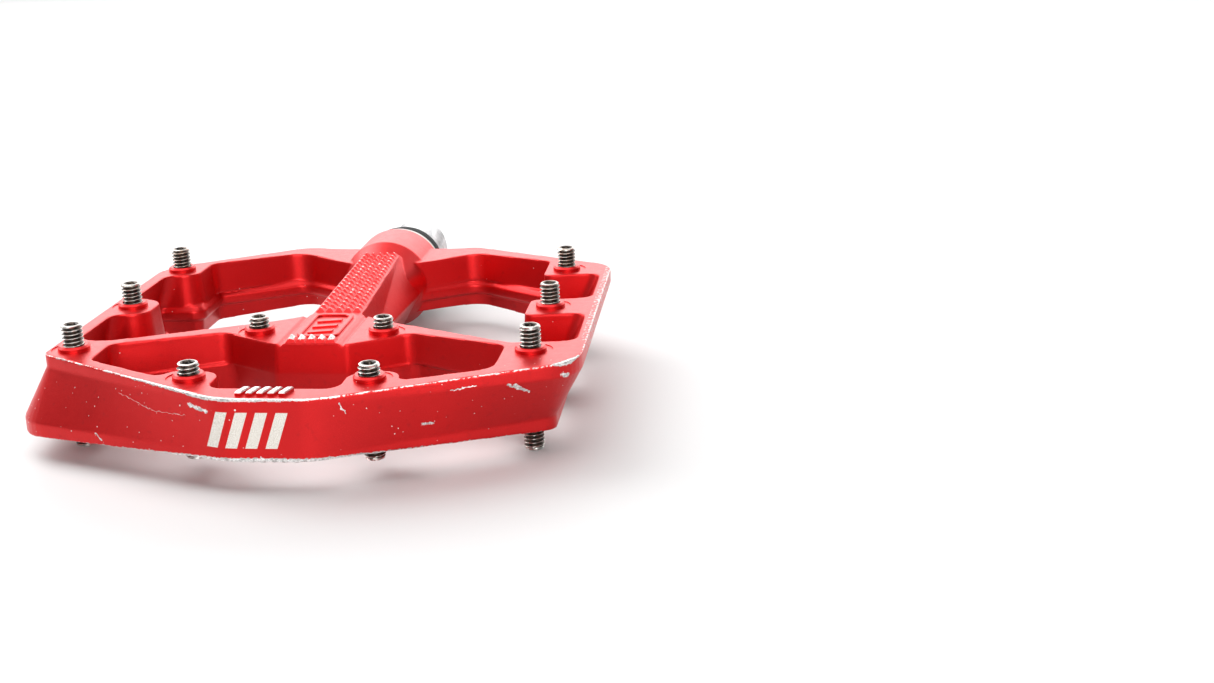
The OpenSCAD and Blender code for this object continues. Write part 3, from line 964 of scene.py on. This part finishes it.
def anodised_material():
    n = Nodes("anodised_red")
    centre = n.vector("SUBTRACT", n.mm, (0, CENTRE_Y / MM, 0))
    x, y, z = n.split(centre)
    fine = n.noise(5.0, 3)
    coarse = n.noise(0.7, 4)
    broad = n.noise(0.045, 2)
    ragged = n.noise(1.6, 5, roughness=0.65)

    # Bare metal where the coat has worn off along the edges
    depth = n.math("ADD", n.attribute("wear"), n.math("MULTIPLY", n.math("SUBTRACT", ragged, 0.52), 1.1))
    worn = n.step(depth, -0.04, 0.06)

    # Small chips, densest on the outboard wall's trailing half
    past_corner = n.math("MAXIMUM", n.math("SUBTRACT", n.math("ABSOLUTE", x), 8), 0)
    wall_line = n.math("MULTIPLY", past_corner, 0.42)
    on_wall = n.step(n.math("SUBTRACT", n.math("ADD", y, HALF_LENGTH), wall_line), 2.6, 1.6)
    chips = None
    for scale, size, share in ((0.62, 0.11, 0.05), (1.5, 0.17, 0.09)):
        distance, pick = n.cells(scale)
        trailing = n.math("MULTIPLY", n.step(x, 0, -30), share)
        rate = n.math("ADD", n.math("MULTIPLY", on_wall, n.math("ADD", trailing, share * 0.5)), share * 0.12)
        chosen = n.math("LESS_THAN", n.split(pick)[0], rate)
        unevenness = n.math("MULTIPLY", n.math("SUBTRACT", ragged, 0.5), 0.2)
        ragged_distance = n.math("ADD", distance, unevenness)
        spots = n.math("MULTIPLY", n.step(ragged_distance, size, size * 0.6), chosen)
        chips = spots if chips is None else n.math("MAXIMUM", chips, spots)

    # A few deliberate scratches on the outboard wall
    wobble = n.vector("SCALE", n.vector("SUBTRACT", n.colour_noise(1.5), (0.5, 0.5, 0.5)), 0.9)
    bent = n.vector("MULTIPLY", n.vector("ADD", centre, wobble), (1, 0, 1))
    scratched = None
    for start, end, radius in SCRATCHES:
        mark = stroke(n, bent, start, end, radius)
        scratched = mark if scratched is None else n.math("MAXIMUM", scratched, mark)
    scratched = n.math("MULTIPLY", scratched, on_wall)

    # Four slanted etched bars
    slanted = n.math("SUBTRACT", n.math("ADD", x, 3.2), n.math("MULTIPLY", z, 0.36))
    bar = n.math("FRACT", n.math("MULTIPLY", n.math("ADD", slanted, 6.5), 1 / 3.6))
    inside = n.math("MULTIPLY", n.step(bar, 0.0, 0.02), n.step(bar, 0.61, 0.59))
    inside = n.math("MULTIPLY", inside, n.step(n.math("ABSOLUTE", slanted), 6.55, 6.45))
    inside = n.math("MULTIPLY", inside, n.step(n.math("ABSOLUTE", z), 3.35, 3.25))
    etched = n.math("MULTIPLY", inside, n.step(y, -52.0, -52.6))

    red = n.mix(n.step(broad, 0.3, 0.7), (0.54, 0.0016, 0.0030), (0.62, 0.0026, 0.0040))
    red = n.mix(n.math("MULTIPLY", n.step(fine, 0.45, 0.75), 0.35), red, (0.68, 0.010, 0.012))
    red = n.mix(n.math("MULTIPLY", n.step(coarse, 0.58, 0.75), 0.25), red, (0.30, 0.001, 0.004))
    metal = n.mix(n.step(ragged, 0.35, 0.65), (0.92, 0.91, 0.90), (0.42, 0.40, 0.39))
    pale = n.mix(n.step(fine, 0.4, 0.62), (0.60, 0.56, 0.50), (0.78, 0.75, 0.70))
    bare = n.math("MAXIMUM", n.math("MAXIMUM", worn, chips), scratched)
    colour = n.mix(etched, red, pale)
    colour = n.mix(bare, colour, metal)
    rough = n.blend(bare, n.blend(etched, n.blend(coarse, 0.34, 0.50), 0.55), 0.42)
    height = n.math("SUBTRACT", fine, n.math("MULTIPLY", bare, 0.9))
    return n.finish(
        Base_Color=colour, Metallic=n.blend(etched, 0.86, 0.45), Roughness=rough,
        Normal=n.bump(height, 0.55, 0.05), Coat_Weight=0.35, Coat_Roughness=0.34,
    )


def pin_material():
    n = Nodes("pin_steel_painted_groove_shade")
    crest = n.attribute("crest")
    grime = n.noise(1.3, 4)
    bright = n.math("ADD", crest, n.math("MULTIPLY", n.math("SUBTRACT", grime, 0.5), 0.35))
    crown = n.step(bright, 0.72, 0.95)
    rust = n.math("MULTIPLY", n.attribute("far"), n.step(grime, 0.3, 0.6))
    brown = n.mix(rust, (0.62, 0.60, 0.57), (0.36, 0.26, 0.19))
    # Nearly black in the thread roots and deep in the hex socket, where crest is low: painted shade, varied by the
    # grime noise; the crests and tip keep grey steel with rust
    groove = n.mix(n.step(grime, 0.4, 0.6), (0.018, 0.015, 0.013), (0.075, 0.052, 0.038))
    colour = n.mix(crown, groove, brown)
    return n.finish(
        Base_Color=colour, Metallic=n.blend(crown, 0.55, 1.0), Roughness=n.blend(grime, 0.24, 0.48),
        Normal=n.bump(n.noise(6, 3), 0.3, 0.04),
    )


def steel_material(name, colour, dark, roughness, thread=False):
    """Turned steel with fine rings around the spindle."""
    n = Nodes(name)
    x, y, z = n.split(n.mm)
    radius = n.math("SQRT", n.math("ADD", n.math("MULTIPLY", x, x), n.math("MULTIPLY", z, z)))
    rings = n.noise(3.0, 3, n.join(radius, n.math("MULTIPLY", y, 4.0), 0.0))
    grime = n.noise(0.6, 4)
    shade_by = n.math("MULTIPLY", n.step(grime, 0.35, 0.7), 0.6)
    if thread:
        # Thread roots and the hex socket painted darker, as painted shade, on top of the grime
        root = n.step(n.attribute("crest"), 0.8, 0.2)
        shade_by = n.math("MAXIMUM", shade_by, n.math("MULTIPLY", root, 0.85))
    return n.finish(
        Base_Color=n.mix(shade_by, colour, dark), Metallic=1.0,
        Roughness=n.blend(rings, roughness - 0.06, roughness + 0.1), Normal=n.bump(rings, 0.25, 0.02),
    )


def collar_material():
    n = Nodes("collar_alloy")
    y = n.split(n.mm)[1]
    rings = n.noise(2.5, 3, n.join(n.math("MULTIPLY", y, 5.0), 0.0, 0.0))
    grime = n.noise(0.5, 4)
    dirt = n.math("MULTIPLY", n.step(grime, 0.4, 0.7), 0.5)
    return n.finish(
        Base_Color=n.mix(dirt, (0.50, 0.48, 0.45), (0.30, 0.28, 0.25)), Metallic=0.75,
        Roughness=n.blend(grime, 0.35, 0.55), Normal=n.bump(rings, 0.3, 0.03),
    )


def rubber_material():
    n = Nodes("seal_rubber")
    dust = n.noise(0.9, 5)
    dusty = n.math("MULTIPLY", n.step(dust, 0.45, 0.75), 0.4)
    return n.finish(
        Base_Color=n.mix(dusty, (0.012, 0.013, 0.014), (0.045, 0.045, 0.043)),
        Roughness=n.blend(dust, 0.6, 0.85), Normal=n.bump(n.noise(7, 2), 0.25, 0.03), Specular_IOR_Level=0.12,
    )


def polymer_material():
    n = Nodes("bearing_polymer")
    mottle = n.noise(1.5, 4)
    colour = n.mix(n.step(mottle, 0.35, 0.7), (0.70, 0.54, 0.20), (0.80, 0.66, 0.34))
    return n.finish(
        Base_Color=colour, Roughness=n.blend(mottle, 0.4, 0.6), Normal=n.bump(n.noise(5, 2), 0.2, 0.03),
    )


def floor_material():
    n = Nodes("sweep")
    tone = n.noise(0.004, 2)
    return n.finish(
        Base_Color=n.mix(tone, (0.55, 0.55, 0.55), (0.57, 0.57, 0.57)), Roughness=n.blend(tone, 0.5, 0.7),
    )


def build_floor():
    reach = 6000
    steps = 12
    points = [(-reach + 2 * reach * i / steps, -reach + 2 * reach * j / steps, FLOOR_Z)
              for j in range(steps + 1) for i in range(steps + 1)]
    row = steps + 1
    faces = [(j * row + i, j * row + i + 1, (j + 1) * row + i + 1, (j + 1) * row + i)
             for j in range(steps) for i in range(steps)]
    mesh = bpy.data.meshes.new("floor")
    mesh.from_pydata([(x * MM, y * MM, z * MM) for x, y, z in points], [], faces)
    obj = bpy.data.objects.new("floor", mesh)
    bpy.context.scene.collection.objects.link(obj)
    mesh.materials.append(MATERIALS["floor"])


def dress_cad_nodes():
    """Materials for the pieces whose CAD shape is shown."""
    by_slot = {"bearing_steel": "bearing", "spindle_steel": "plain_steel", "seal_rubber": "rubber",
               "bearing_polymer": "polymer", "collar_alloy": "collar"}
    for part in frame["record"]["subparts"]:
        node, slot = part["node"], part["material_slot"]
        if slot not in by_slot:
            continue
        obj = NODES[node]
        obj.data.materials.clear()
        obj.data.materials.append(MATERIALS[by_slot[slot]])


camera()
light()
surroundings()
MATERIALS = {
    "red": anodised_material(),
    "pin": pin_material(),
    "spindle": steel_material("spindle_steel", (0.90, 0.90, 0.91), (0.55, 0.54, 0.53), 0.42, thread=True),
    "plain_steel": steel_material("ring_steel", (0.55, 0.55, 0.57), (0.20, 0.19, 0.18), 0.35),
    "bearing": steel_material("bearing_steel", (0.78, 0.79, 0.81), (0.50, 0.50, 0.52), 0.18),
    "rubber": rubber_material(),
    "polymer": polymer_material(),
    "collar": collar_material(),
    "floor": floor_material(),
}
build_floor()
platform = build_platform()
shade(platform, 32)
platform.data.materials.clear()
platform.data.materials.append(MATERIALS["red"])
placed(platform, "forged_platform", "platform", "anodised_red", "platform_body")
build_pins()
build_spindle()
dress_cad_nodes()
